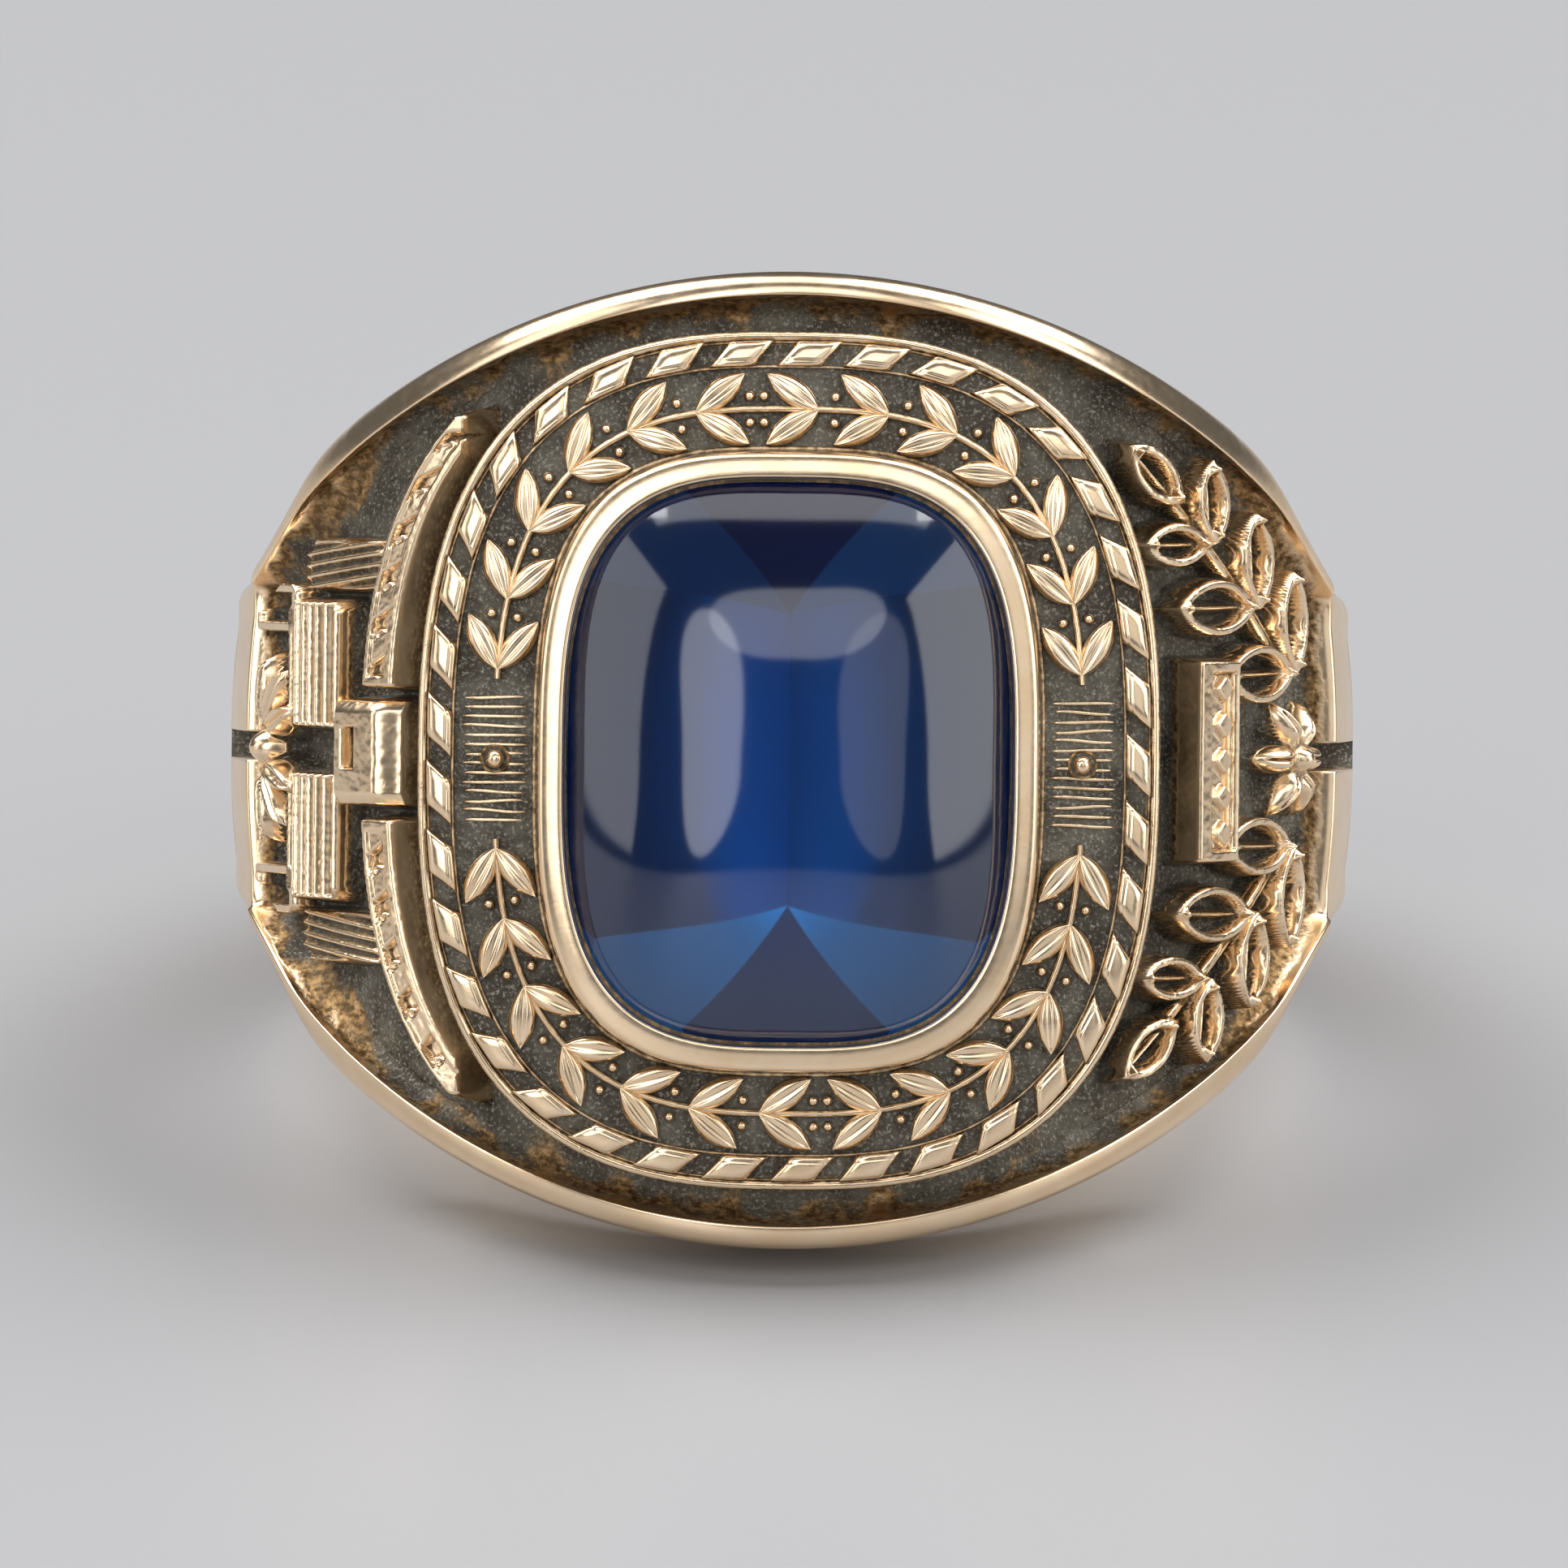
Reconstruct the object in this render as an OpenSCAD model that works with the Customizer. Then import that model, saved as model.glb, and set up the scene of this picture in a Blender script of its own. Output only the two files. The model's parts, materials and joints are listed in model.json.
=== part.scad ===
/* [Band] */
// Diameter of the finger hole
finger_d = 20; // [18:0.5:22]
// Thickness of the band at the back of the finger
back_t = 1.9; // [1.4:0.1:2.4]
// Thickness of the band at the head, up to the crest of its edge rims
head_t = 2.9; // [2.6:0.1:3.4]
// Width of the band at the back of the finger
back_w = 6; // [5:0.25:7]
// Width of the band at the sides of the finger
side_w = 7.1; // [6.8:0.1:8.4]
// Length of the head along the finger, over both edge rims
head_w = 20.8; // [20.4:0.1:22.4]
// Radius of the flare from the band into the head
flare_r = 6.5; // [5.5:0.25:8]

/* [Edge rims and sunk field] */
// Width of an edge rim at its foot
rim_w = 1.05; // [0.8:0.05:1.3]
// Width of an edge rim at its crest
rim_crest_w = 0.5; // [0.35:0.05:0.7]
// Depth of the sunk field below the rims
field_depth = 0.9; // [0.7:0.05:1.1]
// How far the sunk field reaches down each side, as an angle from the head
field_angle = 74; // [70:1:80]

/* [Head plate] */
// Width of the rope border across the finger, to the middle of its bars
rope_across = 14.84; // [14.2:0.1:15.4]
// Length of the rope border along the finger, to the middle of its bars
rope_along = 17.32; // [16.8:0.1:17.8]
// Height of the plate's middle above the finger hole
plate_t = 3.8; // [3.6:0.05:4.1]
// Radius of the shallow dome that the plate follows
plate_dome_r = 45; // [40:1:70]
// Plate left outside the middle of the rope's bars
plate_margin = 0.46; // [0.4:0.02:0.6]

/* [Rope border] */
// Number of bars in the rope border
bar_count = 37; // [33:1:39]
// Length of a bar
bar_l = 1.38; // [1.2:0.02:1.42]
// Width of a bar
bar_w = 0.6; // [0.5:0.02:0.7]
// Slant of a bar's ends, as a shift of one long side
bar_slant = 0.46; // [0.3:0.02:0.5]
// Height of the bars above the plate
bar_h = 0.35; // [0.2:0.05:0.5]

/* [Laurel band] */
// Pairs of leaves in each of the two sprays
leaf_pairs = 13; // [11:1:13]
// Length of a leaf
leaf_l = 1.34; // [1.2:0.02:1.4]
// Width of a leaf
leaf_w = 0.56; // [0.45:0.01:0.6]
// Angle of a leaf to its stem
leaf_angle = 34; // [28:1:38]
// Width of the stem
stem_w = 0.14; // [0.1:0.01:0.2]
// Height of the leaves above the plate
leaf_h = 0.3; // [0.2:0.05:0.4]

/* [Lined fields] */
// Lines in each of the two lined fields
line_count = 14; // [10:2:16]
// Space from line to line
line_pitch = 0.2; // [0.18:0.01:0.22]
// Width of a line
line_w = 0.08; // [0.06:0.01:0.1]
// Length of a line
line_l = 1.35; // [1.1:0.05:1.4]
// Height of the lines above the plate
line_h = 0.1; // [0.06:0.01:0.16]
// Diameter of the bead in each field
bead_d = 0.45; // [0.35:0.01:0.6]
// Height of the bead above the plate
bead_h = 0.3; // [0.2:0.02:0.4]

/* [Stone] */
// Width of the stone across the finger
stone_across = 9.9; // [9.4:0.1:10.2]
// Length of the stone along the finger
stone_along = 12.4; // [11.8:0.1:12.6]
// Height of the stone's dome above its girdle
dome_h = 1.95; // [1.5:0.05:2.4]
// Thickness of the girdle
girdle_t = 0.3; // [0.2:0.05:0.4]
// Depth of the faceted underside
pavilion_h = 2.55; // [2.2:0.05:2.6]
// Length of the keel in which the main facets meet
keel_l = 5.2; // [4:0.2:6]
// Height of the girdle's upper edge above the finger hole
girdle_height = 3.75; // [3.7:0.01:3.85]

/* [Bezel] */
// Width of the bezel's face
bezel_w = 0.67; // [0.6:0.01:0.8]
// How far the bezel laps over the stone
bezel_lap = 0.28; // [0.2:0.01:0.35]
// Height of the bezel above the plate
bezel_h = 0.9; // [0.7:0.05:1.1]
// Gap between the stone and its setting
stone_gap = 0.05; // [0.03:0.01:0.08]

/* [Shoulders] */
// Height of the shoulder ornament above the sunk field
relief_h = 0.7; // [0.5:0.05:0.8]
// Width of the blank plaque along the finger
plaque_l = 4.5; // [3.6:0.1:5]
// Diameter of the rosette
rosette_d = 2.8; // [2.4:0.1:3]
// Gap between the two cross bars that close the sunk field
bar_gap = 0.6; // [0.4:0.1:1]

/* [Hidden] */
$fn = 120;
// Exponents of the three cushion outlines
rope_exp = 2.7;
leaf_exp = 2.85;
bezel_exp = 3.1;
// Height at which the plate and the pages spring from the band
root_height = finger_d * 0.3;
// How deep a raised form is rooted in what carries it
root = 0.3;
// Points in a cushion outline
outline_n = 72;
// Where the flare starts, in front of the middle of the finger hole
flare_y = -1.4;
// How far the lens of the head stands outside the band at its sides
lens_margin = 0.51;
// A length that reaches past the whole ring
far = 60;

finger_r = finger_d / 2;
crest_y = finger_r + head_t;
back_y = finger_r + back_t;
band_r = (crest_y + back_y) / 2;
band_shift = (crest_y - back_y) / 2;
field_r = band_r - field_depth;
field_end_y = -band_shift - band_r * cos(field_angle);
// Seen from the front, each long edge of the head is an arc
lens_drop = (head_w - side_w) / 2 - lens_margin;
lens_r = (pow(band_r, 2) + pow(lens_drop, 2)) / (2 * lens_drop);

plate_height = finger_r + plate_t;
rope_a = rope_across / 2;
rope_b = rope_along / 2;
plate_a = rope_a + plate_margin;
plate_b = rope_b + plate_margin;

stone_a = stone_across / 2;
stone_b = stone_along / 2;
girdle_top = finger_r + girdle_height;
girdle_foot = girdle_top - girdle_t;
keel_height = girdle_foot - pavilion_h;
opening_a = stone_a - bezel_lap;
opening_b = stone_b - bezel_lap;
bezel_a = opening_a + bezel_w;
bezel_b = opening_b + bezel_w;
// The middle of the laurel band lies halfway between the bezel and the rope
leaf_a = (bezel_a + rope_a - bar_w / 2) / 2;
leaf_b = (bezel_b + rope_b - bar_w / 2) / 2;
lined_half = line_pitch * line_count / 2;
// The bezel laps over the dome, which has risen this far at the opening
dome_exp = 2.6;
dome_rows = 8;
lap_height = girdle_top + dome_h * (1 - pow(opening_a / stone_a, dome_exp)) + stone_gap;
// How much steeper the facets at the girdle are than the main ones
girdle_steepness = 1.35;
// Pages of the book, which curve round outside the plate
page_gap = 0.35;
page_w = 0.85;
page_a = plate_a + page_gap + page_w / 2;
page_b = plate_b + page_gap + page_w / 2;
page_z = 7.2;
spine_w = 1.7;
spine_l = 2.5;
// Lined blocks of page edges below the pages
block_w = 2.4;
block_l = 2.9;
block_z = 1.86;
block_lines = 6;
block_line_w = 0.2;
// Stepped fields beside the blocks
step_w = 2.9;
step_l = 1.24;
step_z = 4.02;
// Small frames near the field's end
frame_w = 2.3;
frame_l = 1.1;
frame_line = 0.25;
frame_z = 3.06;
plaque_w = 1.48;
knob_d = 1.04;
// Angles down the sides from the head, to the middle of each form
spine_angle = 46;
step_angle = 53.5;
block_angle = 57.6;
frame_angle = 67.5;
knob_angle = 69;
plaque_angle = 47.3;
rosette_angle = 65;
rosette_petals = 6;
// Leaves about the knob: [angle down the side, place along the finger, turn]
book_leaves = [[64.6, 0.6, -22], [65.8, 1.1, -52], [68.3, 1.25, -82]];
book_leaf_l = 2;
book_leaf_w = 0.8;
// A branch runs from a place low on the side to one beside the head: [angle, place]
branch_from = [63, 1.7];
branch_to = [39, 6.2];
// Its leaves: [share of the way along the branch, turn off it, length]
branch_leaves = [
    [0.02, -42, 2.4], [0.04, 44, 2.6], [0.33, -42, 2.3], [0.36, 44, 2.5],
    [0.64, -42, 2], [0.66, 44, 2], [0.84, 0, 2]
];
branch_leaf_share = 0.52;
branch_ridge = 0.24;
// Length of the two cross bars, down the side from the end of the sunk field
bar_depth = 3.4;
// Width of the thin ridge along the plate's edge
edge_w = 0.16;

// Lying on its side, the ring leans until its head and its back both touch. The head
// touches where its long edge meets the finger hole
lean = atan((head_w - back_w) / (2 * (back_y + finger_r)));
rest_height = head_w / 2 * cos(lean) - finger_r * sin(lean);
bezel_edge_height = plate_height + bezel_h - pow(bezel_b, 2) / (2 * plate_dome_r);
front_reach = bezel_edge_height * cos(lean) + bezel_b * sin(lean);
back_reach = back_y * cos(lean) + back_w / 2 * sin(lean);

// A point of a cushion outline: |x/a|^p + |y/b|^p = 1 at the angle t
function cushion(a, b, p, t) = [
    a * sign(cos(t)) * pow(abs(cos(t)), 2 / p),
    b * sign(sin(t)) * pow(abs(sin(t)), 2 / p)
];
// How far a cushion outline reaches in the direction t
function reach(a, b, p, t) = let(q = p / (p - 1))
    pow(pow(a * abs(cos(t)), q) + pow(b * abs(sin(t)), q), 1 / q);
// Rows of [length run along the outline, angle t], from the right-hand side round
function run_table(a, b, p, n = 240) = [
    for (
        i = 0, run = 0;
        i <= n;
        i = i + 1,
        run = run + norm(cushion(a, b, p, 360 * i / n) - cushion(a, b, p, 360 * (i - 1) / n))
    ) [run, 360 * i / n]
];
function total_run(table) = table[len(table) - 1][0];
// The direction in which the outline runs at the angle t
function heading(a, b, p, t) = let(
    step = cushion(a, b, p, t + 0.5) - cushion(a, b, p, t - 0.5)
) atan2(step[1], step[0]);

rope_run = run_table(rope_a, rope_b, rope_exp);
leaf_run = run_table(leaf_a, leaf_b, leaf_exp);
spray_start = lined_half + 0.3;
spray_length = total_run(leaf_run) / 2 - 2 * spray_start;

module cushion_2d(a, b, p) {
    polygon([for (i = [0:outline_n - 1]) cushion(a, b, p, 360 * i / outline_n)]);
}

module cushion_ring_2d(a, b, p, w) {
    difference() {
        cushion_2d(a + w / 2, b + w / 2, p);
        cushion_2d(a - w / 2, b - w / 2, p);
    }
}

// A pointed leaf between two arcs, from the origin along x
module leaf_2d(l, w) {
    r = (l * l / 4 + w * w / 4) / w;
    intersection() {
        translate([l / 2, r - w / 2]) circle(r, $fn = 96);
        translate([l / 2, w / 2 - r]) circle(r, $fn = 96);
    }
}

// Sets a drawing on a cushion outline, x along it and y inwards, at a length run
module at_run(a, b, p, table, run) {
    t = lookup(run, table);
    translate(cushion(a, b, p, t)) rotate(heading(a, b, p, t)) children();
}

// Turns a drawing in x and y, rising along z, to face the head of the ring
module facing_head() {
    rotate([90, 0, 0]) children();
}

// A round bar along the finger, about the middle of the band
module band_round(r) {
    translate([0, -band_shift, 0]) cylinder(far, r = r, center = true);
}

// Everything below the plate's dome, lifted by a height
module under_dome(lift) {
    translate([0, 0, plate_height - plate_dome_r]) sphere(plate_dome_r + lift, $fn = 200);
}

// A drawing raised above the domed plate
module raised_on_plate(lift) {
    intersection() {
        translate([0, 0, root_height]) linear_extrude(far / 2) children();
        difference() {
            under_dome(lift);
            under_dome(-root);
        }
    }
}

// The space between the two flanks, drawn in by an inset: a straight taper behind, a flare
// at the sides, and the lens of the head in front
module between_flanks(inset) {
    half_side = side_w / 2 - inset;
    half_back = back_w / 2 - inset;
    half_head = head_w / 2 - inset;
    difference() {
        rotate([90, 0, 90]) linear_extrude(far, center = true) polygon([
            [-far / 2, -half_head], [flare_y, -half_head], [flare_y, -half_side],
            [back_y, -half_back], [back_y, half_back],
            [flare_y, half_side], [flare_y, half_head], [-far / 2, half_head]
        ]);
        for (side = [-1, 1]) {
            translate([0, flare_y, side * (side_w / 2 + flare_r)])
                rotate([0, 90, 0]) cylinder(far, r = flare_r + inset, center = true, $fn = 240);
            translate([0, 0, side * (head_w / 2 - lens_r)]) rotate([90, 0, 0]) difference() {
                translate([-far / 2, side > 0 ? 0 : -far, -far / 2]) cube(far);
                cylinder(2 * far, r = lens_r - inset, center = true, $fn = 240);
            }
        }
    }
}

// The sunk field on the front half, from a radius outwards
module field_cut(inset, r) {
    difference() {
        intersection() {
            between_flanks(inset);
            translate([-far / 2, -far / 2, -far / 2]) cube([far, far / 2 + field_end_y, far]);
        }
        band_round(r);
    }
}

// The slot that parts the bar closing the sunk field on each side
module bar_slot() {
    difference() {
        translate([-far / 2, field_end_y - root, -bar_gap / 2]) cube([far, root + bar_depth, bar_gap]);
        band_round(field_r);
    }
}

module shank() {
    difference() {
        intersection() {
            band_round(band_r);
            between_flanks(0);
        }
        field_cut(rim_crest_w, band_r - field_depth / 2);
        field_cut(rim_w, field_r);
        bar_slot();
    }
}

module plate() {
    intersection() {
        facing_head() intersection() {
            translate([0, 0, root_height]) linear_extrude(far / 2) cushion_2d(plate_a, plate_b, rope_exp);
            under_dome(0);
        }
        between_flanks(0);
    }
}

module plate_ornament() {
    raised_on_plate(bar_h) rope_2d();
    raised_on_plate(bar_h / 2)
        cushion_ring_2d(plate_a - edge_w / 2, plate_b - edge_w / 2, rope_exp, edge_w);
    raised_on_plate(leaf_h) laurel_2d();
    raised_on_plate(line_h) lines_2d();
    raised_on_plate(bead_h)
        for (side = [-1, 1]) translate([side * leaf_a, 0]) circle(d = bead_d, $fn = 32);
}

// Slanted bars whose outer sides lag behind their inner ones
module rope_2d() {
    pitch = total_run(rope_run) / bar_count;
    for (i = [0:bar_count - 1])
        at_run(rope_a, rope_b, rope_exp, rope_run, i * pitch) polygon([
            [bar_slant - bar_l / 2, bar_w / 2], [bar_l / 2, bar_w / 2],
            [bar_l / 2 - bar_slant, -bar_w / 2], [-bar_l / 2, -bar_w / 2]
        ]);
}

// Two sprays of paired leaves, each growing from both lined fields to its middle
module laurel_2d() {
    pitch = spray_length / leaf_pairs;
    for (half = [0, 1])
        for (i = [0:leaf_pairs - 1]) {
            run = half * total_run(leaf_run) / 2 + spray_start + (i + 0.5) * pitch;
            at_run(leaf_a, leaf_b, leaf_exp, leaf_run, run)
                mirror([i < leaf_pairs / 2 ? 0 : 1, 0])
                    for (up = [-1, 1])
                        translate([-leaf_l * 0.42, 0]) rotate(up * leaf_angle) leaf_2d(leaf_l, leaf_w);
        }
    difference() {
        cushion_ring_2d(leaf_a, leaf_b, leaf_exp, stem_w);
        square([far, 2 * spray_start], center = true);
    }
}

module lines_2d() {
    for (side = [-1, 1])
        for (i = [0:line_count - 1])
            translate([side * leaf_a, (i + 0.5) * line_pitch - lined_half])
                square([line_l, line_w], center = true);
}

module bezel() {
    intersection() {
        translate([0, 0, root_height]) linear_extrude(far / 2) cushion_2d(bezel_a, bezel_b, bezel_exp);
        difference() {
            under_dome(bezel_h);
            under_dome(-root);
        }
    }
}

// Half-spaces off the stone's underside: eight main facets meet at the keel, and
// eight steeper ones lie between them at the girdle
module pavilion_cuts(grow) {
    for (i = [0:15]) {
        t = 22.5 * i;
        wide = reach(stone_a, stone_b, bezel_exp, t);
        fall = wide - keel_l / 2 * abs(sin(t));
        slope = atan((i % 2 == 0 ? 1 : girdle_steepness) * pavilion_h / fall);
        translate([wide * cos(t), wide * sin(t), girdle_foot])
            rotate([0, 180 - slope, t])
                translate([-far / 2, -far / 2, grow]) cube(far);
    }
}

// Cushion outlines that shrink towards the middle as they climb the dome
module stone_blank() {
    n = outline_n;
    // Rows of [share of the outline, height]
    rows = concat([[1, keel_height - root]], [
        for (i = [0:dome_rows - 1])
            let(share = cos(90 * i / dome_rows))
                [share, girdle_top + dome_h * (1 - pow(share, dome_exp))]
    ]);
    points = concat(
        [
            for (row = rows, i = [0:n - 1])
                let(at = cushion(stone_a * row[0], stone_b * row[0], bezel_exp, 360 * i / n))
                    [at[0], at[1], row[1]]
        ],
        [[0, 0, girdle_top + dome_h]]
    );
    last = len(rows) - 1;
    faces = concat(
        [[for (i = [0:n - 1]) i]],
        [
            for (r = [0:last - 1], i = [0:n - 1])
                [r * n + i, (r + 1) * n + i, (r + 1) * n + (i + 1) % n, r * n + (i + 1) % n]
        ],
        [for (i = [0:n - 1]) [last * n + i, (last + 1) * n, last * n + (i + 1) % n]]
    );
    polyhedron(points, faces);
}

// The stone's seat, a gap wider than its underside, and the opening through the bezel
module setting_space() {
    difference() {
        translate([0, 0, keel_height - root])
            linear_extrude(lap_height - keel_height + root)
                cushion_2d(stone_a + stone_gap, stone_b + stone_gap, bezel_exp);
        pavilion_cuts(stone_gap);
    }
    translate([0, 0, girdle_foot]) linear_extrude(far) cushion_2d(opening_a, opening_b, bezel_exp);
}

// Sets a drawing on the sunk field of a side: x runs down from the head, y along the finger
module on_field(side, angle, z, lift) {
    mirror([side < 0 ? 1 : 0, 0, 0])
        translate([0, -band_shift, 0])
            rotate([0, 0, angle])
                translate([0, root - field_r, z])
                    rotate([90, 0, 0]) linear_extrude(root + lift) children();
}

// An open book seen from its foot: two curved pages, a spine and lined blocks of page
// edges, with stepped fields, small frames and leaves about a knob
module book_shoulder() {
    intersection() {
        facing_head() translate([0, 0, root_height]) linear_extrude(far / 2) intersection() {
            cushion_ring_2d(page_a, page_b, rope_exp, page_w);
            for (up = [0, 1])
                mirror([0, up]) translate([-far, spine_l / 2]) square([far, page_z - spine_l / 2]);
        }
        band_round(band_r + relief_h / 2);
    }
    on_field(-1, spine_angle, 0, relief_h * 1.7) square([spine_w, spine_l], center = true);
    on_field(-1, knob_angle, 0, relief_h * 1.5) circle(d = knob_d, $fn = 32);
    for (up = [-1, 1]) {
        on_field(-1, step_angle, up * step_z, relief_h * 0.8) square([step_w, step_l], center = true);
        on_field(-1, frame_angle, up * frame_z, relief_h) difference() {
            square([frame_w, frame_l], center = true);
            square([frame_w - 2 * frame_line, frame_l - 2 * frame_line], center = true);
        }
        on_field(-1, block_angle, up * block_z, relief_h * 1.1) square([block_w, block_l], center = true);
        on_field(-1, block_angle, up * block_z, relief_h * 1.3)
            for (i = [0:block_lines - 1])
                translate([block_w * ((i + 0.5) / block_lines - 0.5), 0])
                    square([block_line_w, block_l], center = true);
        for (leaf = book_leaves)
            on_field(-1, leaf[0], up * leaf[1], relief_h * 1.35)
                rotate(up * leaf[2]) translate([-book_leaf_l / 2, 0]) leaf_2d(book_leaf_l, book_leaf_w);
    }
}

// A blank plaque over a rosette, between two laurel branches
module laurel_shoulder() {
    on_field(1, plaque_angle, 0, relief_h * 1.6) square([plaque_w, plaque_l], center = true);
    on_field(1, rosette_angle, 0, relief_h * 1.35) {
        circle(d = rosette_d * 0.3, $fn = 32);
        for (i = [0:rosette_petals - 1])
            rotate(360 / rosette_petals * i)
                translate([rosette_d * 0.1, 0]) leaf_2d(rosette_d * 0.42, rosette_d * 0.26);
    }
    way = [(branch_to[0] - branch_from[0]) * PI / 180 * field_r, branch_to[1] - branch_from[1]];
    for (up = [-1, 1])
        for (leaf = branch_leaves) {
            turn = atan2(way[1], way[0]) + leaf[1];
            foot = branch_from + (branch_to - branch_from) * leaf[0];
            angle = foot[0] + leaf[2] / 2 * cos(turn) * 180 / PI / field_r;
            on_field(1, angle, up * (foot[1] + leaf[2] / 2 * sin(turn)), relief_h * 1.2)
                rotate(up * turn) branch_leaf_2d(leaf[2]);
        }
}

// A leaf in outline about its middle, hollow inside its ridge
module branch_leaf_2d(l) {
    w = l * branch_leaf_share;
    hollow = l - branch_ridge * 4;
    difference() {
        translate([-l / 2, 0]) leaf_2d(l, w);
        translate([-hollow / 2, 0]) leaf_2d(hollow, w - branch_ridge * 2);
    }
}

module leaning() {
    translate([0, (front_reach - back_reach) / 2, rest_height]) rotate([-lean, 0, 0]) children();
}

module ring_body() {
    color([0.78, 0.6, 0.36]) leaning() difference() {
        union() {
            shank();
            plate();
            facing_head() {
                plate_ornament();
                bezel();
            }
            intersection() {
                union() {
                    book_shoulder();
                    laurel_shoulder();
                }
                between_flanks(rim_crest_w);
            }
        }
        facing_head() setting_space();
        cylinder(far, r = finger_r, center = true);
    }
}

module stone() {
    color([0.07, 0.18, 0.5]) leaning() facing_head() difference() {
        stone_blank();
        pavilion_cuts(0);
    }
}

ring_body();
stone();
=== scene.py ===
"""Class ring with a domed cushion stone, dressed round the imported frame.

Lengths are in millimetres until place() turns them into metres of the row's frame.
A point of the ring is (u, v, h): u to the right across the finger, v up along the
finger, h the height above the finger hole's axis, towards the head.
"""
import json
import math

import bmesh
import bpy
import mathutils
import numpy as np
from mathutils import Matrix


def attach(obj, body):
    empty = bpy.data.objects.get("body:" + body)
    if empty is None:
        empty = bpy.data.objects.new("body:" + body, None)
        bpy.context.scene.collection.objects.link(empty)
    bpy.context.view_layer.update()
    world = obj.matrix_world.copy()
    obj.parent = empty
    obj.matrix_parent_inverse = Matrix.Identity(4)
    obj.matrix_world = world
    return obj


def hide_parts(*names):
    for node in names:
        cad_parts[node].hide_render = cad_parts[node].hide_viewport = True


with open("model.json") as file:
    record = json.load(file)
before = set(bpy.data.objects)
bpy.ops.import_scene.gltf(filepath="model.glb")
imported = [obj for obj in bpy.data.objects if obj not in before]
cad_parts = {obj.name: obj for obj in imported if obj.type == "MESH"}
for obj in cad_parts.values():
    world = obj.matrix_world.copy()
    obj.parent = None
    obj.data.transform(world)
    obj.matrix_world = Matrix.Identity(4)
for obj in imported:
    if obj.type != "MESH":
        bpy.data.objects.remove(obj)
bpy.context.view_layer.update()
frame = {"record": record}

BODY = "root"
HOLE = next(m for m in frame["record"]["mounts"] if m["name"] == "finger_hole")
LEAN = math.atan2(HOLE["axis"][1], HOLE["axis"][2])

# Band
BORE_R = HOLE["dims"]["r_mm"]
BAND_SHIFT = 0.5
BAND_R = 12.4
FIELD_R = 11.5
FIELD_DEPTH = BAND_R - FIELD_R
SIDE_HALF = 3.55
BACK_HALF = 3.0
HEAD_HALF = 10.4
BACK_Y = 11.9
FLARE_Y = -1.4
FLARE_R = 6.5
LENS_DROP = 6.34
LENS_R = (BAND_R**2 + LENS_DROP**2) / (2 * LENS_DROP)
RIM_FOOT = 1.05
RIM_CREST = 0.5
FIELD_END = 72.7
BAR_START = 74.0

# Head, with cushion outlines as half width, half length and exponent
PLATE_TOP = 13.8
DOME_R = 45.0
PLATE = (7.88, 9.12, 2.7)
ROPE = (7.42, 8.66, 2.7)
LEAF = (6.23, 7.475, 2.85)
BEZEL = (5.34, 6.59, 3.1)
LIP = (4.68, 5.93, 3.1)
SEAT = (5.0, 6.25, 3.1)
BAR_COUNT = 37
LEAF_PAIRS = 13
LINE_COUNT = 14
LINE_PITCH = 0.2
# The feet of the small forms lie this far under the plate
SUNK = -0.12

# Stone
STONE = (4.95, 6.2, 3.1)
GIRDLE_TOP = 13.75
GIRDLE_FOOT = 13.45
DOME_H = 1.95
DOME_POWER = 2.6
PAVILION_H = 2.55
KEEL_HALF = 2.6
BREAK_STEEPNESS = 1.35
FACETS = 16
FACET_TURN = 22.5
# How bright each facet's silvering is painted, from the right-hand one counter-clockwise: painted
# light and shade, brighter or darker by the light each facet is set to catch
PAINTED_FACET_LIGHT = [0.2, 0.45, 0.5, 0.32, 0.08, 0.16, 0.3, 0.32, 0.16, 0.6, 1.0, 0.8, 0.24, 0.9, 1.0, 0.95]

# Photograph: its width in pixels, and the camera's focal length in those pixels
PICTURE = 1932
FOCAL = 17238.0


def place(points):
    """Turns (u, v, h) in millimetres into metres of the row's frame: the local axes
    (u, -h, v) turned by the lean about X and moved to the finger hole's middle."""
    u, v, h = points[..., 0], points[..., 1], points[..., 2]
    y = -h * math.cos(LEAN) + v * math.sin(LEAN)
    z = h * math.sin(LEAN) + v * math.cos(LEAN)
    return np.stack([u, y, z], -1) / 1000 + np.array(HOLE["pos_m"])


def smooth(x, low=0.0, high=1.0):
    """0 below low, 1 above high, and 3t^2 - 2t^3 in between."""
    t = np.clip((x - low) / (high - low), 0, 1)
    return t * t * (3 - 2 * t)


def cushion(shape, t, grow=0.0):
    """A point of the outline |u/a|^p + |v/b|^p = 1 at the angle t, with both half
    widths grown by the same length."""
    a, b, p = shape
    c, s = np.cos(t), np.sin(t)
    return np.stack([
        (a + grow) * np.sign(c) * np.abs(c) ** (2 / p),
        (b + grow) * np.sign(s) * np.abs(s) ** (2 / p),
    ], -1)


def cushion_share(shape, u, v):
    """How far out a point lies, as a share of the cushion outline: 0 in the middle, 1 on it."""
    a, b, p = shape
    return (np.abs(u / a) ** p + np.abs(v / b) ** p) ** (1 / p)


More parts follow.
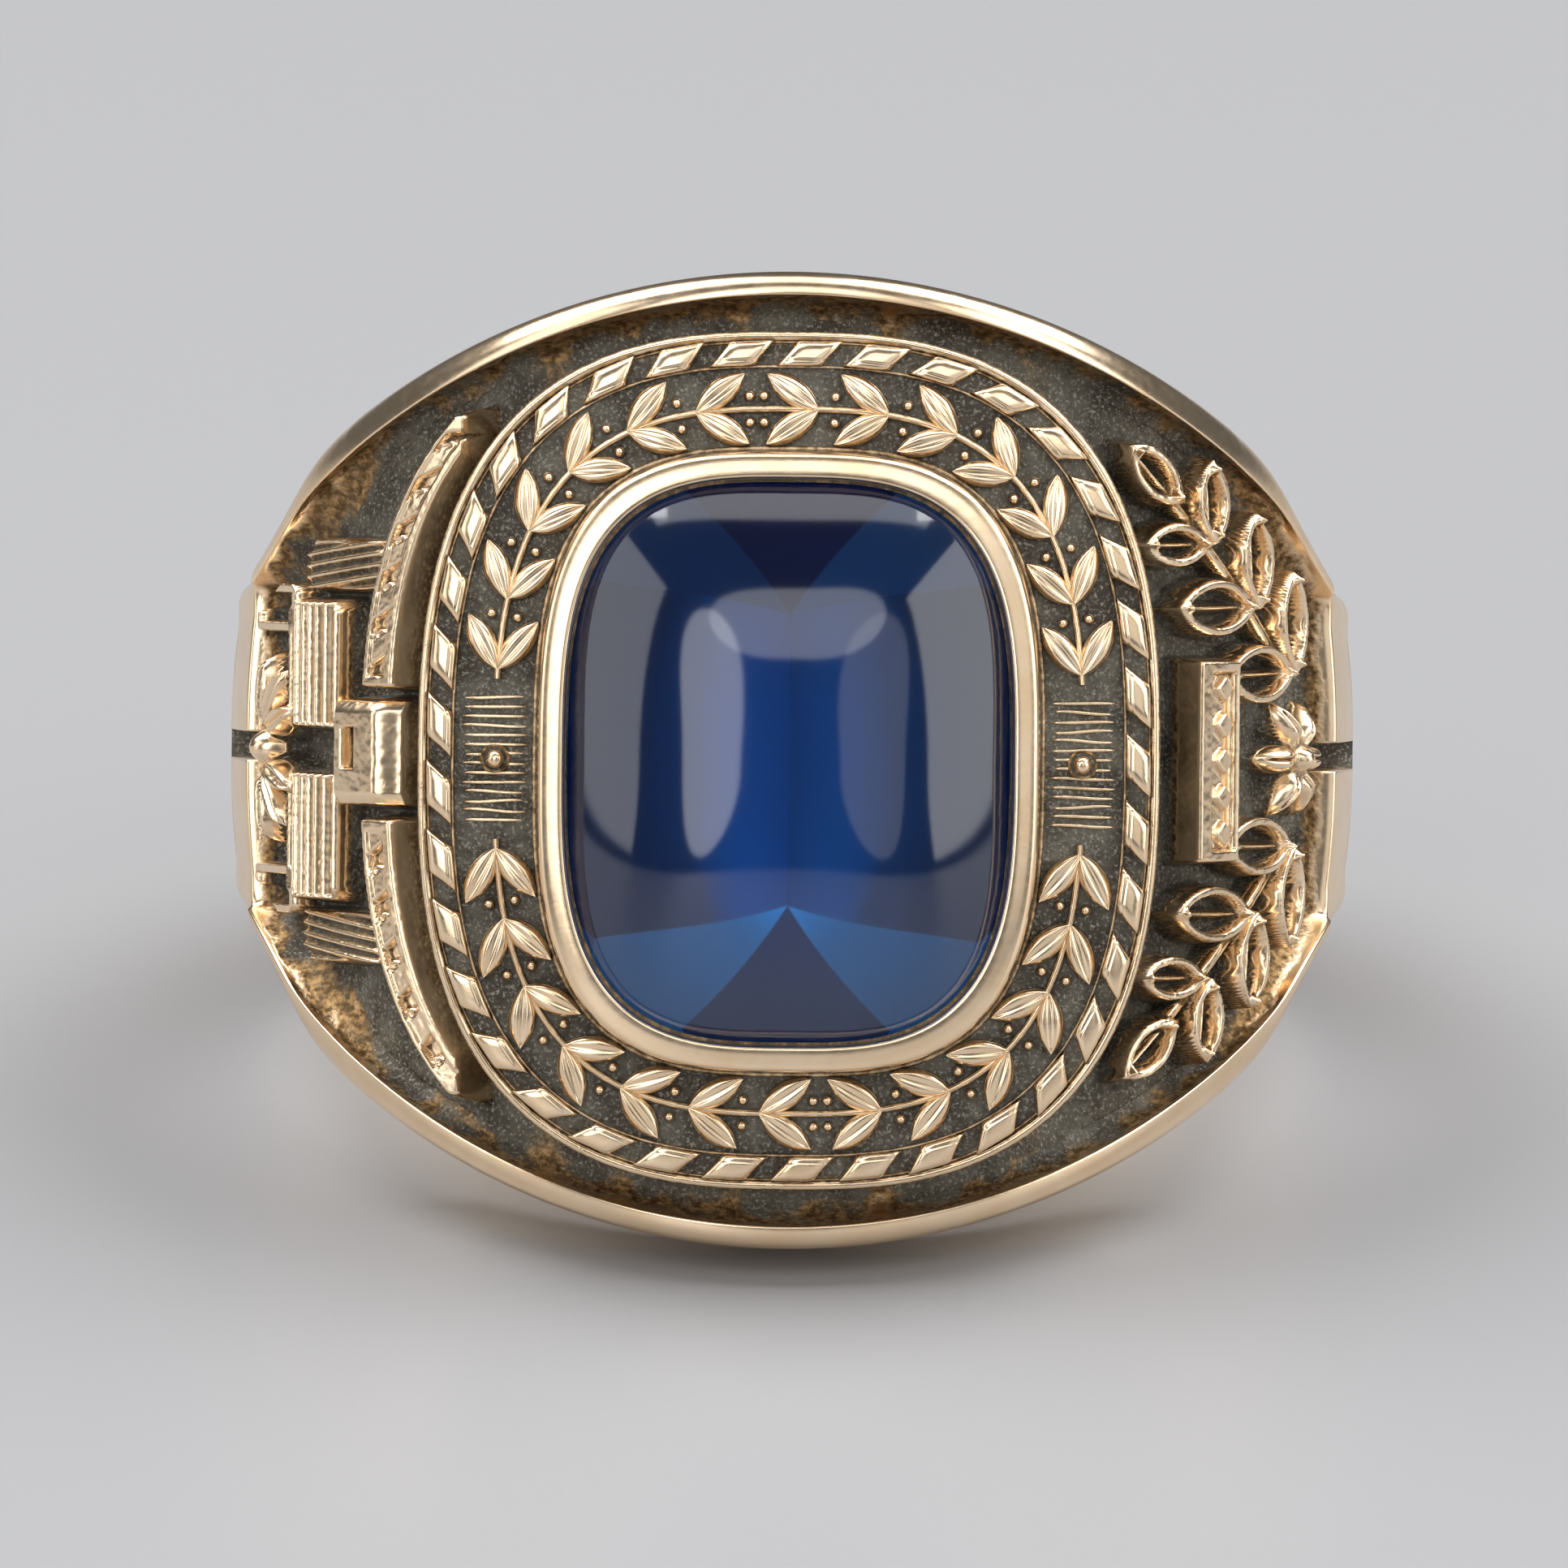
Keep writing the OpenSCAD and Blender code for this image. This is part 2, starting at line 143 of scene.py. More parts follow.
class Run:
    """An outline measured along its length, from its right-hand side counter-clockwise."""

    def __init__(self, shape, n=2880):
        self.shape = shape
        self.t = np.linspace(0, 2 * np.pi, n + 1)
        steps = np.linalg.norm(np.diff(cushion(shape, self.t), axis=0), axis=1)
        self.length = np.concatenate([[0], np.cumsum(steps)])
        self.total = self.length[-1]

    def frames(self, run):
        """Places and headings of points at lengths run: the point, and the angle of the
        chord from just before it to just after it."""
        t = np.interp(run, self.length, self.t)
        step = cushion(self.shape, t + 0.009) - cushion(self.shape, t - 0.009)
        return cushion(self.shape, t), np.arctan2(step[:, 1], step[:, 0])

    def even(self, n):
        """n angles t that cut the outline into pieces of equal length."""
        return np.interp(np.arange(n) * self.total / n, self.length, self.t)


def dome(u, v):
    """Height of the plate: a sphere of radius 45 whose top is the plate's middle."""
    return PLATE_TOP - DOME_R + np.sqrt(DOME_R**2 - u**2 - v**2)


def flank(u, y, inset=0.0):
    """Half the band's width at a point across the finger and at a depth y behind the
    hole's axis: a straight taper behind, an arc that flares out at the sides, and in
    front the arc that makes the head a lens. Where the two arcs meet, the corner
    is rounded by 0.5 (a + b - sqrt((a - b)^2 + 0.1))."""
    lens = HEAD_HALF - LENS_R + np.sqrt((LENS_R - inset) ** 2 - u**2)
    reach = np.clip(FLARE_Y - y, 0, None)
    flare = SIDE_HALF + FLARE_R - np.sqrt(np.maximum((FLARE_R + inset) ** 2 - reach**2, 0))
    flare = np.where(reach < FLARE_R + inset, flare, 2 * HEAD_HALF)
    front = 0.5 * (lens + flare - np.sqrt((lens - flare) ** 2 + 0.1 * smooth(reach, 0.5, 2.5)))
    taper = SIDE_HALF - (SIDE_HALF - BACK_HALF) * (y - FLARE_Y) / (BACK_Y - FLARE_Y) - inset
    return np.where(y < FLARE_Y, front, taper)


def put(name, data):
    """Makes an object at the origin and links it into the scene."""
    made = bpy.data.objects.new(name, data)
    bpy.context.scene.collection.objects.link(made)
    return made


def add_piece(name, points, faces, wear, facing=None, slot="gold", replaces="ring_body"):
    """Puts whole arrays of points and quads into one mesh. The faces are turned outwards:
    by the enclosed volume where the piece is closed, or towards facing where it is open."""
    co = place(points.reshape(-1, 3))
    faces = faces.reshape(-1, 4)
    corner = co[faces]
    normal = np.cross(corner[:, 2] - corner[:, 0], corner[:, 3] - corner[:, 1])
    middle = corner.mean(axis=1) - co.mean(axis=0)
    towards = middle if facing is None else np.array(facing)
    if np.sum(normal * towards) < 0:
        faces = faces[:, ::-1]
    mesh = bpy.data.meshes.new(name)
    mesh.vertices.add(len(co))
    mesh.vertices.foreach_set("co", co.ravel().astype(np.float32))
    mesh.loops.add(faces.size)
    mesh.loops.foreach_set("vertex_index", faces.ravel().astype(np.int32))
    mesh.polygons.add(len(faces))
    mesh.polygons.foreach_set("loop_start", np.arange(0, faces.size, 4, dtype=np.int32))
    mesh.polygons.foreach_set("use_smooth", np.ones(len(faces), bool))
    mesh.update(calc_edges=True)
    layer = mesh.attributes.new("wear", "FLOAT", "POINT")
    layer.data.foreach_set("value", np.clip(wear, 0, 1).ravel().astype(np.float32))
    work = bmesh.new()
    work.from_mesh(mesh)
    bmesh.ops.remove_doubles(work, verts=work.verts, dist=2e-7)
    bmesh.ops.dissolve_degenerate(work, edges=work.edges, dist=1e-8)
    work.to_mesh(mesh)
    work.free()
    piece = put(name, mesh)
    mesh.materials.append(MATERIALS[slot])
    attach(piece, BODY)
    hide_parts(replaces)


def grid_faces(rows, cols, wrap_rows=False, wrap_cols=False, copies=1):
    """Quads between neighbouring points of a grid, or of several equal grids in a row."""
    i = np.arange(rows if wrap_rows else rows - 1)
    j = np.arange(cols if wrap_cols else cols - 1)
    i, j = np.meshgrid(i, j, indexing="ij")
    down, right = (i + 1) % rows, (j + 1) % cols
    quads = np.stack([i * cols + j, down * cols + j, down * cols + right, i * cols + right], -1)
    starts = np.arange(copies) * rows * cols
    return (quads.reshape(1, -1, 4) + starts[:, None, None]).reshape(-1, 4)


class Grids:
    """Several grids of points that become one piece."""

    def __init__(self):
        self.points, self.wear, self.faces = [], [], []
        self.count = 0

    def add(self, points, wear, faces):
        self.points.append(points.reshape(-1, 3))
        self.wear.append(np.broadcast_to(wear, points.shape[:-1]).reshape(-1))
        self.faces.append(faces + self.count)
        self.count += points[..., 0].size

    def piece(self, name):
        parts = [np.concatenate(part) for part in (self.points, self.faces, self.wear)]
        add_piece(name, *parts, facing=HEAD_WAY)


def blur(field, reach, wrap=(False, False)):
    """Repeats a short three-point average along both ways of a grid."""
    for _ in range(reach):
        for axis in (0, 1):
            if wrap[axis]:
                low, high = np.roll(field, 1, axis), np.roll(field, -1, axis)
            else:
                edge = [(1, 1) if k == axis else (0, 0) for k in (0, 1)]
                padded = np.pad(field, edge, mode="edge")
                low = padded[:-2] if axis == 0 else padded[:, :-2]
                high = padded[2:] if axis == 0 else padded[:, 2:]
            field = 0.25 * low + 0.5 * field + 0.25 * high
    return field


def grains(shape, reach, seed, wrap=(False, False)):
    """White noise from a fixed seed, smoothed into grains and scaled to a spread of 1."""
    noise = blur(np.random.default_rng(seed).normal(size=shape), reach, wrap)
    return noise / noise.std()


# Materials


class Value:
    """A socket of a shader, on which Python's arithmetic adds Math nodes."""

    def __init__(self, shader, socket):
        self.shader = shader
        self.socket = socket

    def _math(self, operation, a, b):
        return self.shader.node("Math", {"operation": operation}, {0: a, 1: b})

    def __add__(self, other):
        return self._math("ADD", self, other)

    def __sub__(self, other):
        return self._math("SUBTRACT", self, other)

    def __rsub__(self, other):
        return self._math("SUBTRACT", other, self)

    def __mul__(self, other):
        return self._math("MULTIPLY", self, other)

    __radd__ = __add__
    __rmul__ = __mul__


class Shader:
    """A material's node tree, filled through one method."""

    def __init__(self, name):
        self.material = bpy.data.materials.new(name)
        self.material.use_nodes = True
        self.tree = self.material.node_tree
        self.tree.nodes.clear()

    def node(self, kind, settings=None, inputs=None, output=0):
        """Adds a node: its settings first, then the values or links of its sockets."""
        made = self.tree.nodes.new("ShaderNode" + kind)
        for key, value in (settings or {}).items():
            setattr(made, key, value)
        for key, value in (inputs or {}).items():
            if isinstance(value, Value):
                self.tree.links.new(value.socket, made.inputs[key])
            else:
                made.inputs[key].default_value = value
        return Value(self, made.outputs[output]) if made.outputs else None

    def mix(self, share, a, b):
        """A colour that goes from a to b by a share."""
        return self.node("Mix", {"data_type": "RGBA"}, {0: share, 6: a, 7: b}, output=2)

    def ramp(self, value, low, high):
        """0 where a value is below low, 1 above high, smooth between."""
        limits = {0: value, 1: low, 2: high, 3: 0.0, 4: 1.0}
        return self.node("MapRange", {"interpolation_type": "SMOOTHSTEP"}, limits)

    def noise(self, where, scale, detail, rough):
        inputs = {"Vector": where, "Scale": scale, "Detail": detail, "Roughness": rough}
        return self.node("TexNoise", {}, inputs)

    def stretched(self, where, stretch):
        """Coordinates scaled along each axis, which draws a noise out into streaks."""
        return self.node("Mapping", {}, {"Vector": where, "Scale": stretch})

    def finish(self, surface, volume=None):
        outputs = {"Surface": surface, "Volume": volume} if volume else {"Surface": surface}
        self.node("OutputMaterial", {}, outputs)
        return self.material


def old_gold():
    """Cast gold: the wear attribute is 1 on polished tops and 0 in oxidised recesses.
    Noise frays the border between them, grains roughen the recesses, and fine
    scratches run over the tops."""
    s = Shader("old_gold")
    where = s.node("TexCoord", output=3)
    worn = s.node("Attribute", {"attribute_name": "wear"}, output=2)
    broad = s.noise(where, 900.0, 3.0, 0.6)
    fine = s.noise(where, 5200.0, 4.0, 0.65)
    cells = {"Vector": where, "Scale": 8000.0, "Randomness": 1.0}
    grain = s.node("TexVoronoi", {"feature": "F1"}, cells)
    speck = s.noise(where, 13000.0, 3.0, 0.7)
    frayed = worn + (fine - 0.5) * 0.22 + (broad - 0.5) * 0.16
    polish = s.ramp(frayed, 0.48, 0.76)
    bare = s.ramp(frayed, 0.15, 0.44)
    # Oxide in the recesses, from dark brown to a grey green with pale specks
    dark, grey_green = (0.062, 0.050, 0.036, 1), (0.150, 0.136, 0.104, 1)
    oxide = s.mix(s.ramp(broad, 0.35, 0.65), dark, grey_green)
    oxide = s.mix(s.ramp(speck, 0.50, 0.72), oxide, (0.40, 0.38, 0.31, 1))
    # Half worn metal on the walls, and the polished metal of the tops
    brown = s.mix(s.ramp(fine, 0.38, 0.66), (0.15, 0.090, 0.040, 1), (0.52, 0.34, 0.16, 1))
    gold = s.mix(s.ramp(broad, 0.3, 0.7), (0.90, 0.67, 0.43, 1), (0.95, 0.74, 0.51, 1))
    colour = s.mix(polish, s.mix(bare, oxide, brown), gold)
    metallic = s.ramp(frayed, 0.12, 0.45) * 0.6 + 0.4
    streaks = s.noise(s.stretched(where, (0.25, 1.0, 1.0)), 7000.0, 3.0, 0.6)
    rough = 0.60 - polish * 0.38 + (streaks - 0.5) * 0.14 + (fine - 0.5) * 0.06
    grit = (1 - polish) * (grain * 0.55 + speck * 0.5)
    dents = polish * (streaks * 0.04 + broad * 0.10)
    bump = s.node("Bump", {}, {"Strength": 0.6, "Distance": 0.00007, "Height": grit + dents})
    return s.finish(s.node("BsdfPrincipled", {}, {
        "Base Color": colour, "Metallic": metallic, "Roughness": rough,
        "Normal": bump, "IOR": 1.5,
    }))


def blue_glass():
    """A polished synthetic stone: clear and strongly refracting, with faint scratches.
    Its deep blue comes from the way the light takes inside it. An attribute is
    0 on the dome and above 0 on the facets, which are silvered and rough behind the
    clear stone. Its size is painted light and shade: each facet's silver is painted darker or
    brighter by the way the facet faces."""
    s = Shader("blue_glass")
    where = s.node("TexCoord", output=3)
    foil_and_painted_light = s.node("Attribute", {"attribute_name": "foil_and_painted_light"}, output=2)
    cloud = s.noise(where, 300.0, 3.0, 0.5)
    scratch = s.noise(s.stretched(where, (1.0, 0.12, 1.0)), 9000.0, 3.0, 0.7)
    glass = s.mix(cloud, (0.62, 0.80, 0.98, 1), (0.70, 0.85, 1.0, 1))
    # Painted light and shade: each facet's silver runs from dark navy to white by the light it is
    # set to catch
    painted_facet_light = s.mix(foil_and_painted_light, (0.01, 0.015, 0.17, 1), (0.95, 1.0, 1.0, 1))
    backed = s.ramp(foil_and_painted_light, 0.01, 0.05)
    colour = s.mix(backed, glass, painted_facet_light)
    rough = backed * 0.36 + s.ramp(scratch, 0.66, 0.78) * 0.08 + 0.08
    inside = s.node("VolumeAbsorption", {}, {"Color": (0.0, 0.74, 0.97, 1), "Density": 380.0})
    return s.finish(s.node("BsdfPrincipled", {}, {
        "Base Color": colour, "Metallic": backed, "Roughness": rough,
        "IOR": 1.72, "Transmission Weight": 1.0,
    }), inside)


def pale_floor():
    """A plain pale sheet."""
    s = Shader("pale_floor")
    return s.finish(s.node("BsdfPrincipled", {}, {
        "Base Color": (0.36, 0.36, 0.37, 1), "Roughness": 0.42,
    }))


MATERIALS = {"gold": old_gold(), "blue_stone": blue_glass(), "floor": pale_floor()}


# Underside of the stone, which the metal keeps clear of


def facet_planes():
    """The sixteen planes of the stone's underside, as slopes across and up and a base
    height. Each runs through the girdle's foot at the outline's reach in its direction.
    Eight of them fall to a keel along the finger, the eight between are steeper."""
    a, b, p = STONE
    q = p / (p - 1)
    t = np.radians(FACET_TURN * np.arange(FACETS))
    reach = ((a * np.abs(np.cos(t))) ** q + (b * np.abs(np.sin(t))) ** q) ** (1 / q)
    steepness = np.where(np.arange(FACETS) % 2 == 0, 1.0, BREAK_STEEPNESS)
    slope = steepness * PAVILION_H / (reach - KEEL_HALF * np.abs(np.sin(t)))
    return np.column_stack([slope * np.cos(t), slope * np.sin(t)]), GIRDLE_FOOT - slope * reach


def pavilion(u, v):
    """Height of the stone's faceted underside: the highest of its planes."""
    normal, base = facet_planes()
    return (base + np.stack([u, v], -1) @ normal.T).max(-1)


# Shank


def shank():
    """A closed grid of angle round the band by place round its section. Over the head
    the section has a sunk middle, a concave wall up to each rim's crest, a rounded
    outer shoulder, the flank, and the hole's wall. Behind the cross bars the middle
    rises to a plain, slightly crowned band."""
    front = np.arange(0, FIELD_END, 0.42)
    step = np.linspace(FIELD_END, BAR_START, 7)
    bars = np.arange(BAR_START + 0.35, 92, 0.35)
    back = np.linspace(92.5, 180, 78)
    half = np.concatenate([front, step, bars, back])
    theta = np.radians(np.concatenate([half, 360 - half[-2:0:-1]]))
    away = np.degrees(np.abs(np.where(theta > np.pi, 2 * np.pi - theta, theta)))

    # Columns of half a section, in order: a few close to the middle for the slot between
    # the cross bars, the field's floor, the rim's wall up to its crest, its rounded
    # shoulder, the flank, the lip of the hole, and the hole's wall
    near = np.array([0.0, 0.15, 0.25, 0.29, 0.32, 0.36])
    middle = np.linspace(0, 1, 16)[1:]
    wall = np.radians(np.linspace(0, 86, 14)[1:])
    round_ = np.radians(np.concatenate([[2, 6], np.linspace(12, 90, 11)]))
    fall = np.linspace(0, 1, 9)[1:]
    lip = np.radians(np.linspace(0, 90, 5)[1:])
    bore = np.linspace(1, 0, 9)[1:]

    sides = len(wall) + len(round_) + len(fall) + len(lip)
    share = np.concatenate([np.zeros(len(near)), middle, np.ones(sides), bore])
    columns = len(share)
    near_end = len(near)
    floor_end = near_end + len(middle)
    crest = floor_end + len(wall)
    on_flank = slice(crest + len(round_), crest + len(round_) + len(fall))
    on_lip = slice(on_flank.stop, on_flank.stop + len(lip))
    lip_r, shoulder_r, crown_h, slot_columns = 0.2, 0.45, 0.14, 4
    inset = np.concatenate([
        np.full(floor_end, RIM_FOOT),
        RIM_FOOT - (RIM_FOOT - RIM_CREST) * np.sin(wall),
        RIM_CREST * (1 - np.sin(round_)),
        np.zeros(len(fall)),
        lip_r * (1 - np.cos(lip)),
        np.full(len(bore), lip_r),
    ])
    depth = np.concatenate([
        np.full(floor_end, FIELD_DEPTH),
        FIELD_DEPTH * np.cos(wall),
        shoulder_r * (1 - np.cos(round_)),
        np.zeros(columns - on_flank.start),
    ])

    risen = smooth(away, FIELD_END, BAR_START)[:, None]
    between_rims = np.arange(columns) < crest
    crown = crown_h * np.where(between_rims, share**2, 1.0)
    behind = np.where(between_rims, crown, depth + crown_h)
    deep = depth[None, :] * (1 - risen) + behind[None, :] * risen
    slot = (np.arange(columns) < slot_columns)[None, :] & ((away > 73) & (away < 90))[:, None]
    deep = np.where(slot, FIELD_DEPTH, deep)
    cosine = np.cos(theta)
    inner = (-cosine + np.sqrt(cosine**2 + 4 * (BORE_R**2 - BAND_SHIFT**2))) / 2
    radius = BAND_R - deep
    foot = radius[:, on_flank.start - 1:on_flank.start]
    radius[:, on_flank] = foot + (inner[:, None] + lip_r - foot) * fall
    radius[:, on_lip] = inner[:, None] + lip_r * (1 - np.sin(lip))
    radius[:, on_lip.stop:] = inner[:, None]
    y = -BAND_SHIFT - radius * np.cos(theta)[:, None]
    u = radius * np.sin(theta)[:, None]
    wide = flank(u, y, inset[None, :])
    z = share[None, :] * wide
    start = near[-1]
    z[:, :near_end] = near
    z[:, near_end:floor_end] = start + (wide[:, near_end:floor_end] - start) * middle
    h = -y

    # Wear: dark floor, a wall that grows brighter towards the crest, polished outside.
    # Patches of brown and gold lie on the wall and on the floor's outer part.
    polished = np.concatenate([
        np.full(floor_end, 0.05),
        0.16 + 0.56 * np.linspace(0, 1, len(wall)) ** 1.6,
        np.full(len(round_), 1.0),
        np.full(len(fall), 0.95),
        np.full(len(lip) + len(bore), 1.0),
    ])
    band = np.where(between_rims, 0.96, polished)
    wear = polished[None, :] * (1 - risen) + band[None, :] * risen
    wear = np.where(slot, 0.1, wear)
    slot_end = ((away > 90) & (away < 91))[:, None]
    wear[:, :near_end - 1] = np.where(slot_end, 0.1, wear[:, :near_end - 1])
    patches = grains((len(theta), columns), 9, 3, (True, False))
    patchy = slice(floor_end - 6, crest)
    wear[:, patchy] += patches[:, patchy] * 0.13 * (1 - risen)
    wear[:, crest - 1] = 0.9

    u = np.concatenate([u, u[:, -2:0:-1]], 1)
    h = np.concatenate([h, h[:, -2:0:-1]], 1)
    v = np.concatenate([z, -z[:, -2:0:-1]], 1)
    wear = np.concatenate([wear, wear[:, -2:0:-1]], 1)
    outside = np.zeros_like(h, bool)
    outside[:, :crest] = True
    outside[:, 1 - crest:] = True
    # The metal under the stone keeps clear of its facets
    below = outside & (h > 0) & (cushion_share(STONE, u, v) < 1.01)
    h = np.where(below, np.minimum(h, pavilion(u, v) - 0.35), h)
    points = np.stack([u, v, h], -1)
    add_piece("shank", points, grid_faces(*h.shape, True, True), wear)


# Head


def head_plate():
    """A closed loop of rows round the cushion: down the plate's wall, under it, up
    inside the bezel, out over the domed top with its cast grain, and over the thin
    ridge along its edge."""
    columns, top_rows = 760, 27
    t = Run(PLATE).even(columns)
    inner = cushion(BEZEL, t, -0.25)
    share = np.linspace(0, 1, top_rows)[:, None, None]
    top = inner[None] + (cushion(PLATE, t, -0.34)[None] - inner[None]) * share
    # Distance outside the plate's outline, and height over the dome
    ridge = [
        (-0.26, 0.0), (-0.20, 0.06), (-0.15, 0.14), (-0.09, 0.17), (-0.04, 0.15), (-0.01, 0.09),
    ]
    walls = [(0.0, -0.05), (0.0, -0.5), (0.0, -1.2), (0.0, -2.4), (0.0, -4.3), (-0.3, -4.5)]
    rows = [top]
    rise = [np.zeros((top_rows, columns))]
    polished = [np.full((top_rows, columns), 0.04)]
    for off, up in ridge + walls:
        rows.append(cushion(PLATE, t, off)[None])
        rise.append(np.full((1, columns), up))
        polished.append(np.full((1, columns), 0.75 if 0.1 < up else 0.34 if up > -2 else 0.12))
    flat = np.concatenate(rows)
    rise = np.concatenate(rise)
    fine = grains((top_rows, columns), 1, 5, (False, True)) * 0.008
    coarse = grains((top_rows, columns), 5, 6, (False, True)) * 0.012
    rise[1:top_rows] += (fine + coarse)[1:]
    h = dome(flat[..., 0], flat[..., 1]) + rise
    h[-1] = np.minimum(h[-1], 11.2)
    under = np.column_stack([inner, dome(inner[:, 0], inner[:, 1]) - 0.35])[None]
    points = np.concatenate([np.concatenate([flat, h[..., None]], -1), under])
    # The wall ends in the metal round the finger hole
    bore = np.sqrt((BORE_R + 0.6) ** 2 - points[top_rows:, :, 0] ** 2)
    points[top_rows:, :, 2] = np.maximum(points[top_rows:, :, 2], bore)
    wear = np.concatenate(polished + [np.full((1, columns), 0.1)])
    add_piece("head_plate", points, grid_faces(*wear.shape, True, True), wear)


def on_head(spots, headings, shape):
    """Copies a small relief (x, y, height) to each spot and heading on the domed plate."""
    x, y = shape[..., 0], shape[..., 1]
    c = np.cos(headings).reshape(-1, *[1] * x.ndim)
    s = np.sin(headings).reshape(-1, *[1] * x.ndim)
    u = spots[:, 0].reshape(c.shape) + x * c - y * s
    v = spots[:, 1].reshape(c.shape) + x * s + y * c
    return np.stack([u, v, dome(u, v) + shape[..., 2]], -1)


def along_run(middle, way, off, up):
    """A small profile (off, up) carried along a line on the domed plate: off is the
    distance to the line's left, up the height over the dome."""
    u = middle[:, 0, None] - np.sin(way)[:, None] * off
    v = middle[:, 1, None] + np.cos(way)[:, None] * off
    return np.stack([u, v, dome(u, v) + up], -1)


def rope_border():
    """Slanted bars along the rope's outline: each is a grid over a parallelogram with a
    flat top, a strip along its outer side, a long bevel along its inner side and
    rounded ends. Two thin wires run past the bars and frame the hollow between each
    two of them."""
    grids, run = Grids(), Run(ROPE)
    spots, headings = run.frames(np.arange(BAR_COUNT) * run.total / BAR_COUNT)
    half = np.array([0, 0.35, 0.7, 0.88, 0.95, 0.985, 1.0, 1.0])
    p = np.concatenate([-half[:0:-1], half])
    # Across a bar from its outer side to its inner side: place and height
    q, up = np.array([
        (-1.0, SUNK), (-1.0, 0.05), (-0.98, 0.15), (-0.94, 0.23), (-0.86, 0.285), (-0.74, 0.315),
        (-0.64, 0.335), (-0.2, 0.345), (0.3, 0.35), (0.42, 0.348), (0.50, 0.325), (0.62, 0.332),
        (0.82, 0.32), (0.94, 0.29), (0.98, 0.25), (1.0, 0.18), (1.0, SUNK),
    ]).T
    pp, qq = np.meshgrid(p, q, indexing="ij")
    half_length, half_width, slant = 0.47, 0.27, 0.24
    ends = 1 - np.abs(pp) ** 9 * 0.4
    height = np.where(up > 0.1, up * ends, up)
    height[[0, -1], :] = SUNK
    shape = np.stack([pp * half_length + qq * slant, qq * half_width, height], -1)
    wear = smooth(height, 0.06, 0.26) * np.where(qq < -0.75, 0.7, 1.0)
    grids.add(on_head(spots, headings, shape), wear, grid_faces(*pp.shape, copies=BAR_COUNT))
    # Wires along both sides of the bars
    middle, way = run.frames(np.linspace(0, run.total, 721)[:-1])
    for side, thick, top in ((0.285, 0.035, 0.13), (-0.235, 0.03, 0.10)):
        off = side + thick * np.array([-1.3, -1.0, -0.5, 0.0, 0.5, 1.0, 1.3])
        rim = top * np.array([-0.6, 0.45, 0.9, 1.0, 0.9, 0.45, -0.6])
        wire = along_run(middle, way, off, rim)
        grids.add(wire, smooth(rim, 0.03, 0.11) * 0.62, grid_faces(*wire.shape[:2], wrap_rows=True))
    grids.piece("rope_border")


def leaf_relief(length, width, height):
    """A leaf as a grid from stem to tip by side to side: two arcs bound it, its top
    swells between them, and a groove runs along its middle."""
    along = np.linspace(0, 1, 15)[:, None]
    across = np.concatenate([[-1.0, -1.0], np.linspace(-1, 1, 11)[1:-1], [1.0, 1.0]])[None, :]
    half = width / 2 * (1 - (2 * along - 1) ** 2) ** 0.8
    swell = np.sqrt(np.clip(1 - np.abs(across) ** 3 * 0.75, 0, 1))
    groove = 0.06 * np.exp(-((across / 0.22) ** 2))
    top = height * swell * (0.80 + 0.2 * np.sin(np.pi * along)) - groove
    top = np.where(np.abs(across) > 0.999, height * 0.35, top)
    top[:, [0, -1]] = SUNK
    return np.stack([along * length + 0 * across, half * across, top], -1)


def laurel_band():
    """Two sprays of paired leaves and their stem, in the band between bezel and rope."""
    grids, run = Grids(), Run(LEAF)
    start = LINE_PITCH * LINE_COUNT / 2 + 0.3
    spray = run.total / 2 - 2 * start
    pitch = spray / LEAF_PAIRS
    index = np.arange(LEAF_PAIRS)
    at = np.concatenate([half * run.total / 2 + start + (index + 0.5) * pitch for half in (0, 1)])
    forward = np.tile(index < LEAF_PAIRS / 2, 2)
    spots, headings = run.frames(at)
    leaf = leaf_relief(length=1.34, width=0.58, height=0.32)
    splay, foot = math.radians(34), -0.56
    for up in (-1, 1):
        turn = splay * up
        x = leaf[..., 0] * math.cos(turn) - leaf[..., 1] * math.sin(turn) + foot
        y = leaf[..., 0] * math.sin(turn) + leaf[..., 1] * math.cos(turn)
        for way in (True, False):
            chosen = forward == way
            shape = np.stack([x if way else -x, y, leaf[..., 2]], -1)
            made = on_head(spots[chosen], headings[chosen], shape)
            quads = grid_faces(*x.shape, copies=len(made))
            # A mirrored leaf runs the other way round
            grids.add(made, smooth(leaf[..., 2], 0.05, 0.2), quads if way else quads[:, ::-1])
    # Berries between a leaf's tip and the stem
    grow = 0.115 * np.array([1.25, 1.0, 0.92, 0.7, 0.38, 0.0])[:, None]
    around = np.linspace(0, 2 * np.pi, 13)[:-1]
    lift = np.array([-0.06, 0.06, 0.15, 0.22, 0.26, 0.275])[:, None]
    berry = np.stack([grow * np.cos(around), grow * np.sin(around), lift + 0 * around], -1)
    for side in (-1, 1):
        middle, way = run.frames(at + np.where(forward, 0.60, -0.60))
        middle = middle + side * 0.28 * np.column_stack([-np.sin(way), np.cos(way)])
        quads = grid_faces(*berry.shape[:2], wrap_cols=True, copies=len(at))
        grids.add(on_head(middle, way, berry), smooth(lift, 0.08, 0.2), quads[:, ::-1])
    # Stem along the middle, as a low round rod that stops short of the lined fields
    off = np.array([-0.09, -0.075, -0.04, 0.0, 0.04, 0.075, 0.09])
    up = np.array([-0.1, 0.10, 0.19, 0.22, 0.19, 0.10, -0.1])
    for half in (0, 1):
        s = np.linspace(start, run.total / 2 - start, 200) + half * run.total / 2
        rod = along_run(*run.frames(s), off, up)
        grids.add(rod, smooth(up, 0.05, 0.2) * 0.85, grid_faces(*rod.shape[:2]))
    grids.piece("laurel_band")


